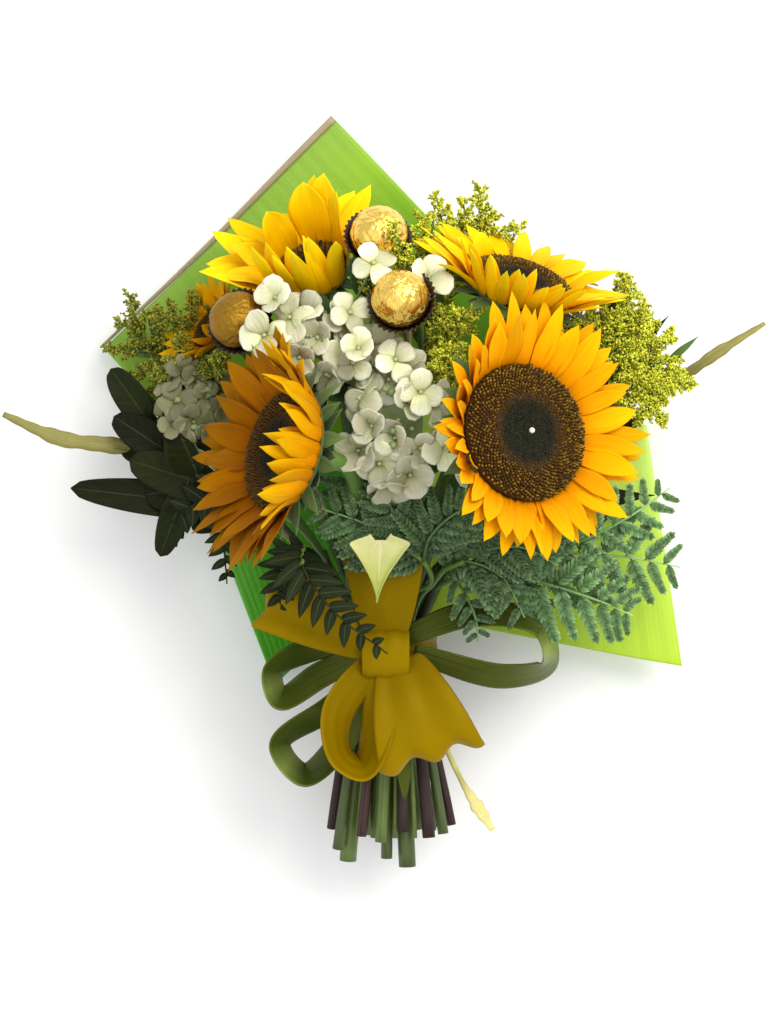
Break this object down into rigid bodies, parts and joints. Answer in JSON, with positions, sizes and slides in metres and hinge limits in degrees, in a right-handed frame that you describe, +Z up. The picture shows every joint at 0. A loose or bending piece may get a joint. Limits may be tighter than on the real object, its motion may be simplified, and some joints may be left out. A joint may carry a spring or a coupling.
{
  "type": "bunch of sunflowers",
  "caption": "Hand-tied bouquet lying on its back: sunflowers, hydrangea, goldenrod, fern, sweets in gold foil and twigs in front of banana leaf, tied with yellow ribbon.",
  "frame": {"origin": "the flat spot under the large back leaf that the bunch rests on, below the middle of the blooms", "axes": "+X to the right of the bunch, +Y from the cut stem ends to the blooms, +Z up from the surface it lies on"},
  "size_m": [0.4459, 0.4432, 0.2077],
  "materials": {
    "petal": "satin",
    "disc": "matte",
    "pearl": "gloss",
    "green_stem": "satin",
    "hydrangea": "matte",
    "goldenrod": "matte",
    "fern": "satin",
    "shade_fern": "satin",
    "dark_leaf": "satin",
    "pale_leaf": "satin",
    "back_leaf": "satin",
    "yellow_ribbon": "satin",
    "string": "matte",
    "strap_leaf": "gloss",
    "gold_foil": "gloss",
    "paper_cup": "matte",
    "pick": "matte",
    "gilded_twig": "satin"
  },
  "bodies": {
    "root": {"sunflower_right_petals": "petal", "sunflower_right_disc": "disc", "sunflower_right_stem": "green_stem", "pearl_pin": "pearl", "sunflower_left_petals": "petal", "sunflower_left_disc": "disc", "sunflower_left_stem": "green_stem", "sunflower_top_petals": "petal", "sunflower_top_disc": "disc", "sunflower_top_stem": "green_stem", "sunflower_top_left_petals": "petal", "sunflower_top_left_disc": "disc", "sunflower_top_left_stem": "green_stem", "sunflower_bud_petals": "petal", "sunflower_bud_disc": "disc", "sunflower_bud_stem": "green_stem", "hydrangea_florets": "hydrangea", "hydrangea_stem": "green_stem", "hydrangea_left_florets": "hydrangea", "hydrangea_left_stem": "green_stem", "goldenrod_top": "goldenrod", "goldenrod_right": "goldenrod", "goldenrod_left": "goldenrod", "fern_right": "fern", "fern_middle": "fern", "fern_front": "fern", "fern_low": "shade_fern", "fern_left": "shade_fern", "salal_branch": "dark_leaf", "dark_leaf_branch": "dark_leaf", "pale_leaf": "pale_leaf", "back_leaf_top": "back_leaf", "back_leaf_right": "back_leaf", "back_leaf_left": "back_leaf", "ribbon_collar": "yellow_ribbon", "binding_string": "string", "ribbon_bow": "yellow_ribbon", "strap_leaf_right": "strap_leaf", "strap_leaf_left": "strap_leaf", "strap_leaf_low": "strap_leaf", "strap_leaf_tail": "strap_leaf", "foil_ball_middle": "gold_foil", "paper_cup_middle": "paper_cup", "pick_middle": "pick", "foil_ball_top": "gold_foil", "paper_cup_top": "paper_cup", "pick_top": "pick", "foil_ball_left": "gold_foil", "paper_cup_left": "paper_cup", "pick_left": "pick", "twig_left": "gilded_twig", "twig_right": "gilded_twig"}
  },
  "joints": []
}
